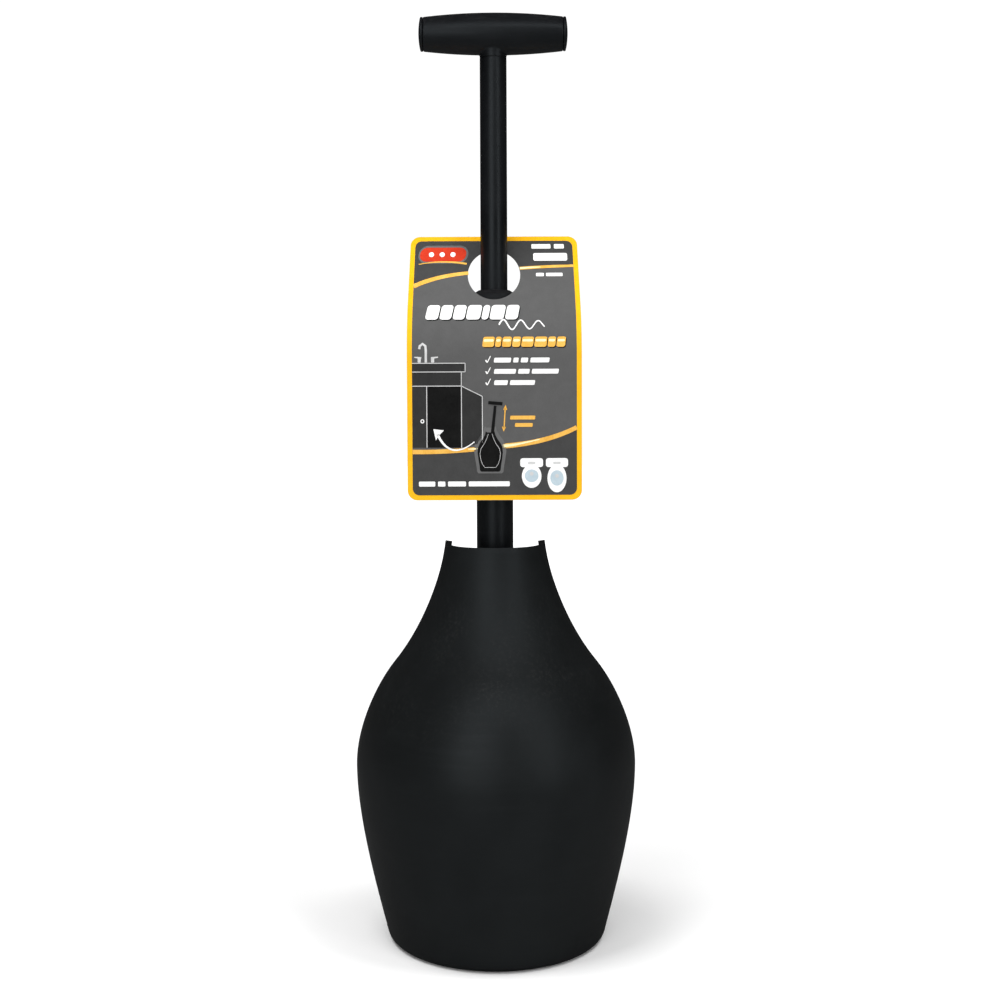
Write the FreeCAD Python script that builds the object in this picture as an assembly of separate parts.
import FreeCAD, Part
import math
import os

from FreeCAD import Vector

# A telescopic toilet plunger standing in its open-backed holder, with its cardboard hang card.
# The origin is the centre of the holder's base on the floor, +Z is up, and the holder's closed
# front faces -Y. All sizes are in millimetres.

# ---- fits ----
running_gap = 0.05          # radial, a hard shaft in its bore
soft_gap = 0.3              # between pieces of two bodies that pass each other
end_gap = 0.5               # axial room where two moving pieces face each other

# ---- holder ----
base_radius = 69.8          # where the foot's round corner meets the side
base_corner = 5.0           # radius of that corner
base_lean = 14.7            # degrees outward
holder_room = 14.2          # radial room round the widest part of the cup
belly_height = 111.0
shoulder_radius = 64.4
shoulder_height = 174.8
shoulder_lean = 39.2        # degrees inward
neck_radius = 32.1
neck_lean = 7.5             # degrees inward
holder_height = 250.0       # front of the rim
side_fullness = 0.305       # how long the side curve's handles are, as a share of each span
holder_wall = 2.6
floor_thickness = 3.0
rim_horn_height = 1.6       # how far the rim rises at the edges of the opening
rim_horn_length = 9.0
opening_edge = 2.0          # Y of the opening's upright edges
opening_sweep = 62.0        # radius of the curve from those edges down to the tray's lip
tray_lip = 9.0              # height of the tray's rear lip
bead_width = 4.5            # thickened edge round the opening
bead_depth = 4.4
rail_count = 4
rail_pitch = 26.0
rail_width = 3.0
rail_clear = 1.2            # how far the rails stand above the tray's lip

# ---- rubber cup ----
cup_wall = 3.6
mouth_radius = 47.0
mouth_height = 24.0
cup_rings = [(58.0, 24.0), (72.5, 40.0), (66.0, 25.0), (54.0, 22.0), (39.0, 18.0)]
ring_groove = 5.0           # depth of the grooves between the rings
cup_web = 6.0               # solid top of the cup, clamped to the handle
neck_wall = 6.5
neck_length = 30.0
neck_bead = 2.0             # thicker lip at the top of the cup's neck
neck_root = 4.5             # how much wider the cup's top is than its neck

# ---- outer tube and what closes its foot ----
outer_tube_wall = 1.3
outer_tube_shown = 131.4    # how far it stands above the holder's rim
tube_gap = 1.8              # between the inner tube and the outer tube's bore
key_height = 1.0            # two ribs inside the tube that stop the handle from turning
key_width = 2.4
plug_length = 20.0
plug_flange = 3.0
washer_radius = 15.0
washer_thickness = 1.6
screw_radius = 2.4
screw_length = 24.0
screw_head_radius = 5.2
screw_head_height = 3.4
screw_drive_radius = 1.8
screw_drive_depth = 2.2

# ---- twist lock ----
ferrule_skirt = 16.0        # length pressed over the tube
ferrule_wall = 2.3
thread_length = 17.0        # threaded nose above the tube
thread_step = 1.95          # how much wider than the outer tube the threaded nose is
thread_pitch = 6.0          # lead of the two-start thread, per full turn
thread_depth = 0.8
lock_quarter_turns = 1.0    # from locked to loose
collar_wall = 1.8
collar_dome = 6.0           # height of the domed top
collar_roof = 5.0           # solid roof over the collet
flute_count = 12
flute_radius = 2.2
flute_depth = 0.8
collet_wall = 2.2
collet_length = 12.0
collet_shown = 1.0          # how far the collet stands above the threaded nose
collet_taper = 1.2          # how much the collet narrows downwards, in radius
collet_slits = 4
slit_width = 1.4
seal_height = 2.4
seal_wall = 1.6
bush_length = 20.0

# ---- inner tube and T grip ----
inner_tube_radius = 8.65
inner_tube_wall = 1.5
pole_shown = 165.2          # from the lock collar's top to the grip's axis
stop_gap = 5.4              # between the guide piston and the bush that stops it
piston_length = 16.0
spigot_length = 18.0
pin_radius = 1.5
pin_sunk = 0.3              # how far a pin's ends stay below the tube's surface
grip_length = 96.3
grip_middle_swell = 4.8     # how much thicker than the tube the grip's middle is, in radius
grip_end_swell = 2.25
grip_neck_length = 16.0     # from the grip's axis down to the seam with the tube
grip_fillet = 2.5
grip_core_wall = 3.3        # plastic left round the core at the grip's ends
grip_core_depth = 34.0
cap_rim = 1.6
cap_dome = 1.4
cap_plug_length = 12.0
cap_plug_wall = 1.8

# ---- hang card ----
card_width = 109.0
card_height = 170.0         # seen from the front
card_thickness = 0.7
card_corner = 6.5
card_hole_radius = 16.8
card_hole_inset = 27.1      # from the top edge to the hole's middle
card_hole_rise = 9.6        # the hole's middle above the collar's top
card_clear = 1.0            # from the lock collar in front of it and the tube behind it
card_flat = 4.0             # straight length below the hole, before the bend
card_bend = 50.0            # radius of the bend below the hole
card_back_lean = 3.0        # degrees, the lower part leans back towards the tube

# ---- sizes and heights that follow ----
belly_radius = max(radius for radius, height in cup_rings) + holder_room + holder_wall
outer_tube_radius = inner_tube_radius + tube_gap + outer_tube_wall
rail_top = tray_lip + rail_clear
cup_bottom = rail_top + end_gap / 2
web_bottom = cup_bottom + mouth_height + sum(height for radius, height in cup_rings)
web_top = web_bottom + cup_web
neck_top = web_top + neck_length
tube_bottom = web_top + plug_flange + end_gap / 2
tube_top = holder_height + outer_tube_shown
tube_bore = outer_tube_radius - outer_tube_wall
ferrule_bottom = tube_top - ferrule_skirt
thread_top = tube_top + thread_length
thread_radius = outer_tube_radius + thread_step
collet_radius = inner_tube_radius + running_gap + collet_wall
collar_thread_room = thread_radius + thread_depth + soft_gap
collar_radius = collar_thread_room + collar_wall
lock_rise = thread_pitch * lock_quarter_turns / 4
collet_top = thread_top + collet_shown
collet_bottom = collet_top - collet_length
roof_bottom = collet_top + seal_height
collar_top = roof_bottom + collar_roof + collar_dome
collar_bottom = tube_top + lock_rise + end_gap
grip_height = collar_top + pole_shown
grip_middle_radius = inner_tube_radius + grip_middle_swell
grip_end_radius = inner_tube_radius + grip_end_swell
grip_core_radius = grip_end_radius - grip_core_wall
grip_seam = grip_height - grip_neck_length
inner_tube_bottom = tube_top - bush_length - stop_gap
grip_bore = inner_tube_radius - inner_tube_wall
card_hole_height = collar_top + card_hole_rise
card_top = card_hole_height + card_hole_inset
card_bottom = card_top - card_height


# ---- drawing helpers ----
def at(radius, height):
    return Vector(radius, 0, height)


def straight(start, end):
    return Part.makeLine(start, end)


def arc(start, middle, end):
    return Part.Arc(start, middle, end).toShape()


def lathe(edges):
    solid = Part.Face(Part.Wire(edges)).revolve(Vector(), Vector(0, 0, 1), 360)
    if solid.Volume < 0:
        solid.reverse()
    return solid


def lathe_corners(corners):
    points = [at(radius, height) for radius, height in corners]
    return lathe([straight(a, b) for a, b in zip(points, points[1:] + points[:1])])


def rod(radius, low, high):
    return Part.makeCylinder(radius, high - low, Vector(0, 0, low))


def ring(outer, inner, low, high):
    return rod(outer, low, high).cut(rod(inner, low - 1, high + 1))


def cross_rod(radius, length, height, direction):
    start = Vector(0, 0, height) - direction * (length / 2)
    return Part.makeCylinder(radius, length, start, direction)


def block(x_size, y_size, low, high, x=0.0, y=0.0):
    corner = Vector(x - x_size / 2, y - y_size / 2, low)
    return Part.makeBox(x_size, y_size, high - low, corner)


def around(shape, count, start=0.0):
    copies = []
    for index in range(count):
        copy = shape.copy()
        copy.rotate(Vector(), Vector(0, 0, 1), start + 360.0 * index / count)
        copies.append(copy)
    return copies


def side_slab(points_and_arcs, half_width):
    """A closed outline in the YZ plane, drawn out along X to both sides."""
    face = Part.Face(Part.Wire(points_and_arcs))
    face.translate(Vector(-half_width, 0, 0))
    return face.extrude(Vector(2 * half_width, 0, 0))


def save(node, shape):
    shape.exportStep("parts/" + node + ".step")


# ---- holder ----
def side_stations(inset):
    """Points on the holder's side, moved inwards by inset, each with the curve's direction."""
    stations = [
        (base_radius, base_corner, base_lean),
        (belly_radius, belly_height, 0.0),
        (shoulder_radius, shoulder_height, -shoulder_lean),
        (neck_radius, holder_height, -neck_lean),
    ]
    placed = []
    for radius, height, lean in stations:
        direction = Vector(math.sin(math.radians(lean)), 0, math.cos(math.radians(lean)))
        outward = Vector(direction.z, 0, -direction.x)
        placed.append((at(radius, height) - outward * inset, direction))
    return placed


def side_edges(inset):
    """The side curve from the foot's corner to the rim, then straight on past the rim."""
    edges = []
    stations = side_stations(inset)
    for (start, start_way), (end, end_way) in zip(stations, stations[1:]):
        handle = side_fullness * (end - start).Length
        curve = Part.BezierCurve()
        curve.setPoles([start, start + start_way * handle, end - end_way * handle, end])
        edges.append(curve.toShape())
    last, way = stations[-1]
    edges.append(straight(last, last + way * (2 * rim_horn_height)))
    return edges


def holder_body(inset, floor):
    """The whole jar-shaped solid inside the side curve, standing on the height floor."""
    edges = side_edges(inset)
    start = side_stations(inset)[0][0]
    lean = math.radians(base_lean)
    radius = (start.z - floor) / (1 - math.sin(lean))
    centre = at(start.x - radius * math.cos(lean), floor + radius)
    turn = math.radians(-45 + base_lean / 2)
    foot = at(centre.x, floor)
    middle = centre + Vector(math.cos(turn), 0, math.sin(turn)) * radius
    top = edges[-1].Vertexes[-1].Point
    corner = [straight(at(0, floor), foot), arc(foot, middle, start)]
    closing = [straight(top, at(0, top.z)), straight(at(0, top.z), at(0, floor))]
    return lathe(corner + edges + closing)


def opening_cut(inset):
    """What is open at the back: behind the upright edges and above the tray's lip."""
    far = 2 * belly_radius
    top = holder_height + 10 * rim_horn_height
    edge = opening_edge - inset
    lip = tray_lip - inset
    bend = opening_sweep
    turn = bend * (1 - math.cos(math.radians(45)))
    upright_end = Vector(0, edge, lip + bend)
    level_start = Vector(0, edge + bend, lip)
    middle = Vector(0, edge + turn, lip + turn)
    outline = [
        straight(Vector(0, edge, top), upright_end),
        arc(upright_end, middle, level_start),
        straight(level_start, Vector(0, far, lip)),
        straight(Vector(0, far, lip), Vector(0, far, top)),
        straight(Vector(0, far, top), Vector(0, edge, top)),
    ]
    return side_slab(outline, far)


def rim_cut():
    """What is above the rim: level at the front, curving up into a small horn at each edge."""
    far = 2 * belly_radius
    top = holder_height + 10 * rim_horn_height
    level_end = Vector(0, opening_edge - rim_horn_length, holder_height)
    horn = Vector(0, opening_edge, holder_height + rim_horn_height)
    sag = Vector(0, opening_edge - 0.35 * rim_horn_length, holder_height + 0.3 * rim_horn_height)
    outline = [
        straight(Vector(0, -far, holder_height), level_end),
        arc(level_end, sag, horn),
        straight(horn, Vector(0, opening_edge, top)),
        straight(Vector(0, opening_edge, top), Vector(0, -far, top)),
        straight(Vector(0, -far, top), Vector(0, -far, holder_height)),
    ]
    return side_slab(outline, far)


def holder_shell():
    outside = holder_body(0, 0)
    wall = outside.cut(holder_body(holder_wall, floor_thickness))
    thick_wall = outside.cut(holder_body(bead_depth, floor_thickness))
    shell = wall.fuse(thick_wall.common(opening_cut(bead_width)))
    room = holder_body(holder_wall / 2, floor_thickness / 2)
    for index in range(rail_count):
        x = (index - (rail_count - 1) / 2) * rail_pitch
        reach = base_radius + holder_wall
        rail = block(rail_width, 2 * reach, floor_thickness / 2, rail_top, x)
        shell = shell.fuse(rail.common(room).common(rod(base_radius, 0, rail_top)))
    shell = shell.cut(opening_cut(0).fuse(rail_run_out())).cut(rim_cut())
    return shell.removeSplitter()


def rail_run_out():
    """The rails end inside the lip, so that water drains round them."""
    inner = base_radius - 2.5 * holder_wall
    return ring(2 * base_radius, inner, tray_lip, rail_top + 1).common(
        block(4 * base_radius, 2 * base_radius, tray_lip, rail_top + 1, 0, base_radius))


# ---- rubber cup ----
def cup_profile(inset):
    """From the mouth upwards: a straight nose, then rings that bulge between shallow grooves."""
    root = outer_tube_radius + soft_gap + neck_wall + neck_root
    height = cup_bottom + mouth_height
    last = at(mouth_radius - inset, height)
    edges = [straight(at(mouth_radius - inset, cup_bottom), last)]
    for index, (radius, rise) in enumerate(cup_rings):
        height += rise
        groove = root
        if index + 1 < len(cup_rings):
            groove = (radius + cup_rings[index + 1][0]) / 2 - ring_groove
        following = at(groove - inset, height)
        edges.append(arc(last, at(radius - inset, height - rise / 2), following))
        last = following
    return edges, last


def rubber_cup():
    outer, outer_end = cup_profile(0)
    inner, inner_end = cup_profile(cup_wall)
    neck = outer_tube_radius + soft_gap + neck_wall
    bore = outer_tube_radius + soft_gap
    top_edges = [
        straight(outer_end, at(outer_end.x, web_bottom + cup_web / 2)),
        straight(at(outer_end.x, web_bottom + cup_web / 2), at(neck, web_top + 4)),
        straight(at(neck, web_top + 4), at(neck, neck_top - 6)),
        arc(at(neck, neck_top - 6), at(neck + neck_bead, neck_top - 3), at(neck, neck_top)),
        straight(at(neck, neck_top), at(bore, neck_top)),
        straight(at(bore, neck_top), at(bore, web_top)),
        straight(at(bore, web_top), at(screw_radius + soft_gap, web_top)),
        straight(at(screw_radius + soft_gap, web_top), at(screw_radius + soft_gap, web_bottom)),
        straight(at(screw_radius + soft_gap, web_bottom), at(inner_end.x, web_bottom)),
    ]
    mouth = [straight(at(mouth_radius - cup_wall, cup_bottom), at(mouth_radius, cup_bottom))]
    return lathe(mouth + outer + top_edges + inner[::-1])


# ---- outer tube, its foot and its twist lock ----
def outer_tube():
    tube = ring(outer_tube_radius, tube_bore, tube_bottom, tube_top)
    key = block(key_height + outer_tube_wall / 2, key_width, tube_bottom, tube_top,
                tube_bore - key_height / 2 + outer_tube_wall / 4)
    for copy in around(key, 2):
        tube = tube.fuse(copy)
    return tube.common(rod(outer_tube_radius, tube_bottom, tube_top)).removeSplitter()


def keyed(shape, low, high, gap):
    """Cuts the two slots in which the tube's ribs run."""
    slot = block(2 * key_height + 2 * gap, key_width + 2 * gap, low - 1, high + 1,
                 tube_bore)
    for copy in around(slot, 2):
        shape = shape.cut(copy)
    return shape


def cup_plug():
    """Closes the tube's foot and takes the screw that clamps the cup."""
    high = tube_bottom + plug_length
    core = keyed(rod(tube_bore, tube_bottom, high), tube_bottom, high, 0)
    flange = rod(outer_tube_radius, tube_bottom - plug_flange, tube_bottom)
    return core.fuse(flange).cut(rod(screw_radius, web_top, high - 3)).removeSplitter()


def plug_washer():
    return ring(washer_radius, screw_radius, web_bottom - soft_gap - washer_thickness,
                web_bottom - soft_gap)


def plug_screw():
    seat = web_bottom - soft_gap - washer_thickness
    head = lathe([
        straight(at(0, seat - screw_head_height), at(screw_head_radius * 0.6, seat - screw_head_height)),
        arc(at(screw_head_radius * 0.6, seat - screw_head_height),
            at(screw_head_radius * 0.92, seat - screw_head_height * 0.65),
            at(screw_head_radius, seat)),
        straight(at(screw_head_radius, seat), at(0, seat)),
        straight(at(0, seat), at(0, seat - screw_head_height)),
    ])
    head_end = seat - screw_head_height
    drive = rod(screw_drive_radius, head_end - 1, head_end + screw_drive_depth)
    return head.fuse(rod(screw_radius, seat, seat + screw_length)).cut(drive).removeSplitter()


def tube_ferrule():
    """Pressed over the tube: a skirt below, and a threaded nose with the collet's cone above."""
    skirt = ring(outer_tube_radius + ferrule_wall, outer_tube_radius, ferrule_bottom, tube_top)
    nose = rod(thread_radius, tube_top, thread_top)
    ridge_count = int((thread_length - 4) / (thread_pitch / 2))
    for index in range(ridge_count):
        middle = tube_top + 4 + index * thread_pitch / 2
        nose = nose.fuse(lathe_corners([
            (thread_radius - thread_depth, middle - thread_depth),
            (thread_radius + thread_depth, middle - thread_depth / 3),
            (thread_radius + thread_depth, middle + thread_depth / 3),
            (thread_radius - thread_depth, middle + thread_depth),
        ]))
    cone = lathe_corners([
        (0, collet_bottom - end_gap),
        (collet_radius - collet_taper + running_gap, collet_bottom - end_gap),
        (collet_radius + running_gap, thread_top + 0.01),
        (0, thread_top + 0.01),
    ])
    throat = rod(inner_tube_radius + 2 * running_gap, tube_top - 1, collet_bottom)
    return skirt.fuse(nose).cut(cone).cut(throat).removeSplitter()


def guide_bush():
    bush = ring(tube_bore, inner_tube_radius + running_gap, tube_top - bush_length, tube_top)
    return keyed(bush, tube_top - bush_length, tube_top, 0)


def collet():
    """A slit cone that the lock collar pushes down and closes on the inner tube."""
    slope = collet_taper / (thread_top - collet_bottom + end_gap)
    foot_radius = collet_radius - slope * (thread_top - collet_bottom)
    cone = lathe_corners([
        (inner_tube_radius + running_gap, collet_bottom),
        (foot_radius, collet_bottom),
        (collet_radius, thread_top),
        (collet_radius, collet_top),
        (inner_tube_radius + running_gap, collet_top),
    ])
    slit = block(3 * collet_wall, slit_width, collet_bottom - 1, collet_top - 3, collet_radius)
    for copy in around(slit, collet_slits, 45):
        cone = cone.cut(copy)
    return cone


def wiper_seal():
    inner = inner_tube_radius + running_gap
    return ring(inner + seal_wall, inner, collet_top, collet_top + seal_height)


def lock_collar():
    shoulder = collar_top - collar_dome
    seal_pocket = inner_tube_radius + running_gap + seal_wall
    opening = inner_tube_radius + soft_gap
    dome_fall = 0.25 * collar_dome
    edge_round = collar_dome - dome_fall
    collar = lathe([
        straight(at(collar_thread_room, collar_bottom), at(collar_radius, collar_bottom)),
        straight(at(collar_radius, collar_bottom), at(collar_radius, shoulder)),
        arc(at(collar_radius, shoulder),
            at(collar_radius - 0.3 * edge_round, collar_top - 0.3 * edge_round - dome_fall),
            at(collar_radius - edge_round, collar_top - dome_fall)),
        straight(at(collar_radius - edge_round, collar_top - dome_fall), at(opening, collar_top)),
        straight(at(opening, collar_top), at(opening, roof_bottom)),
        straight(at(opening, roof_bottom), at(seal_pocket, roof_bottom)),
        straight(at(seal_pocket, roof_bottom), at(seal_pocket, collet_top)),
        straight(at(seal_pocket, collet_top), at(collar_thread_room, collet_top)),
        straight(at(collar_thread_room, collet_top), at(collar_thread_room, collar_bottom)),
    ])
    flute = rod(flute_radius, collar_bottom - 1, shoulder - 2)
    flute.translate(Vector(collar_radius + flute_radius - flute_depth, 0, 0))
    for copy in around(flute, flute_count, 180 / flute_count):
        collar = collar.cut(copy)
    return collar


# ---- inner tube and T grip ----
def inner_tube():
    tube = ring(inner_tube_radius, grip_bore, inner_tube_bottom, grip_seam)
    foot_pin = cross_rod(pin_radius, 3 * inner_tube_radius,
                         inner_tube_bottom + spigot_length / 2, Vector(0, 1, 0))
    grip_pin_hole = cross_rod(pin_radius, 3 * inner_tube_radius,
                              grip_seam - spigot_length / 2, Vector(1, 0, 0))
    return tube.cut(foot_pin).cut(grip_pin_hole)


def guide_piston():
    """Runs in the outer tube on its two ribs and carries the inner tube's foot."""
    low = inner_tube_bottom - piston_length
    head = keyed(rod(tube_bore - running_gap, low, inner_tube_bottom), low, inner_tube_bottom,
                 2 * running_gap)
    spigot = rod(grip_bore, inner_tube_bottom, inner_tube_bottom + spigot_length)
    hole = cross_rod(pin_radius, 3 * inner_tube_radius,
                     inner_tube_bottom + spigot_length / 2, Vector(0, 1, 0))
    return head.fuse(spigot).cut(hole).removeSplitter()


def piston_pin():
    return cross_rod(pin_radius, 2 * grip_bore + inner_tube_wall,
                     inner_tube_bottom + spigot_length / 2, Vector(0, 1, 0))


def grip_barrel():
    half = grip_length / 2 - cap_rim - cap_dome
    end_a = Vector(-half, 0, grip_end_radius)
    end_b = Vector(half, 0, grip_end_radius)
    crown = arc(end_a, Vector(0, 0, grip_middle_radius), end_b)
    base_a = Vector(-half, 0, 0)
    base_b = Vector(half, 0, 0)
    outline = Part.Wire([crown, straight(end_b, base_b), straight(base_b, base_a),
                         straight(base_a, end_a)])
    barrel = Part.Face(outline).revolve(Vector(), Vector(1, 0, 0), 360)
    if barrel.Volume < 0:
        barrel.reverse()
    barrel.translate(Vector(0, 0, grip_height))
    return barrel


def t_grip():
    """The barrel, its neck flush with the tube, and a spigot inside the tube."""
    barrel = grip_barrel()
    neck = rod(inner_tube_radius, grip_seam, grip_height)
    grip = barrel.fuse(neck)
    joined = [edge for edge in grip.Edges
              if abs(edge.BoundBox.XMax - inner_tube_radius) < 0.2
              and edge.BoundBox.ZMax < grip_height - grip_fillet
              and edge.BoundBox.ZMin > grip_seam + 0.5]
    grip = grip.makeFillet(grip_fillet, joined)
    grip = grip.fuse(rod(grip_bore, grip_seam - spigot_length, grip_seam))
    half = grip_length / 2 - cap_rim - cap_dome
    for side in (-1, 1):
        core = Part.makeCylinder(grip_core_radius, grip_core_depth,
                                 Vector(side * (half - grip_core_depth), 0, grip_height),
                                 Vector(side, 0, 0))
        grip = grip.cut(core)
    hole = cross_rod(pin_radius, 3 * inner_tube_radius, grip_seam - spigot_length / 2,
                     Vector(1, 0, 0))
    return grip.cut(hole).removeSplitter()


def grip_pin():
    return cross_rod(pin_radius, 2 * (inner_tube_radius - pin_sunk),
                     grip_seam - spigot_length / 2, Vector(1, 0, 0))


def grip_end_cap(side):
    """A domed disc with a hollow plug that presses into the barrel's core."""
    half = grip_length / 2 - cap_rim - cap_dome
    sphere = (grip_end_radius ** 2 + cap_dome ** 2) / (2 * cap_dome)
    low = cap_rim + cap_dome - sphere
    turn = math.asin(grip_end_radius / sphere) / 2
    edges = [
        straight(at(0, cap_rim + cap_dome), at(0, 0)),
        straight(at(0, 0), at(grip_core_radius - cap_plug_wall, 0)),
        straight(at(grip_core_radius - cap_plug_wall, 0),
                 at(grip_core_radius - cap_plug_wall, -cap_plug_length)),
        straight(at(grip_core_radius - cap_plug_wall, -cap_plug_length),
                 at(grip_core_radius, -cap_plug_length)),
        straight(at(grip_core_radius, -cap_plug_length), at(grip_core_radius, 0)),
        straight(at(grip_core_radius, 0), at(grip_end_radius, 0)),
        straight(at(grip_end_radius, 0), at(grip_end_radius, cap_rim)),
        arc(at(grip_end_radius, cap_rim), at(sphere * math.sin(turn), low + sphere * math.cos(turn)),
            at(0, cap_rim + cap_dome)),
    ]
    cap = lathe(edges)
    cap.rotate(Vector(), Vector(0, 1, 0), side * 90)
    cap.translate(Vector(side * half, 0, grip_height))
    return cap


# ---- hang card ----
def card_line():
    """The card's side line from the top edge down: leaning forwards, bent, then leaning back.

    It leans so that the hole's lower edge clears the collar's front and its upper edge the
    tube's back."""
    front_clear = collar_radius + card_clear + card_thickness
    back_clear = inner_tube_radius + card_clear
    lean = math.atan((front_clear + back_clear) / (2 * card_hole_radius))
    slope = Vector(0, -math.sin(lean), -math.cos(lean))
    low_edge = Vector(0, -front_clear, card_hole_height - card_hole_radius)
    top = low_edge - slope * ((card_top - low_edge.z) / math.cos(lean))
    after_hole = low_edge + slope * card_flat
    side = Vector(0, -math.cos(lean), math.sin(lean))
    centre = after_hole - side * card_bend
    half_turn = lean / 2
    middle = centre + Vector(0, -math.cos(half_turn), math.sin(half_turn)) * card_bend
    back = math.radians(card_back_lean)
    bend_end = centre + Vector(0, -math.cos(back), -math.sin(back)) * card_bend
    foot = Vector(0, bend_end.y + (bend_end.z - card_bottom) * math.tan(back), card_bottom)
    return [straight(top, after_hole), arc(after_hole, middle, bend_end), straight(bend_end, foot)]


def card_plate(thickness):
    """A strip of the card's width, of the given thickness behind the side line."""
    front = Part.Wire(card_line())
    strip = front.extrude(Vector(card_width, 0, 0))
    strip.translate(Vector(-card_width / 2, 0, 0))
    plate = strip.makeOffsetShape(thickness, 0.01, fill=True)
    if plate.Volume < 0:
        plate.reverse()
    return plate


def card_silhouette():
    """The rounded card outline with its hole, seen from the front, drawn through in Y."""
    half = card_width / 2
    reach = 200.0
    outline = Part.makeBox(card_width, 2 * reach, card_top - card_bottom,
                           Vector(-half, -reach, card_bottom))
    corners = [edge for edge in outline.Edges
               if abs(edge.BoundBox.YLength - 2 * reach) < 1]
    outline = outline.makeFillet(card_corner, corners)
    hole = Part.makeCylinder(card_hole_radius, 2 * reach, Vector(0, -reach, card_hole_height),
                             Vector(0, 1, 0))
    return outline.cut(hole)


def hang_card():
    return card_plate(card_thickness).common(card_silhouette())


os.makedirs("parts", exist_ok=True)
save("holder_shell", holder_shell())
save("rubber_cup", rubber_cup())
save("outer_tube", outer_tube())
save("cup_plug", cup_plug())
save("plug_washer", plug_washer())
save("plug_screw", plug_screw())
save("tube_ferrule", tube_ferrule())
save("guide_bush", guide_bush())
save("lock_collar", lock_collar())
save("collet", collet())
save("wiper_seal", wiper_seal())
save("inner_tube", inner_tube())
save("guide_piston", guide_piston())
save("piston_pin", piston_pin())
save("t_grip", t_grip())
save("grip_pin", grip_pin())
save("grip_end_cap_left", grip_end_cap(-1))
save("grip_end_cap_right", grip_end_cap(1))
save("hang_card", hang_card())
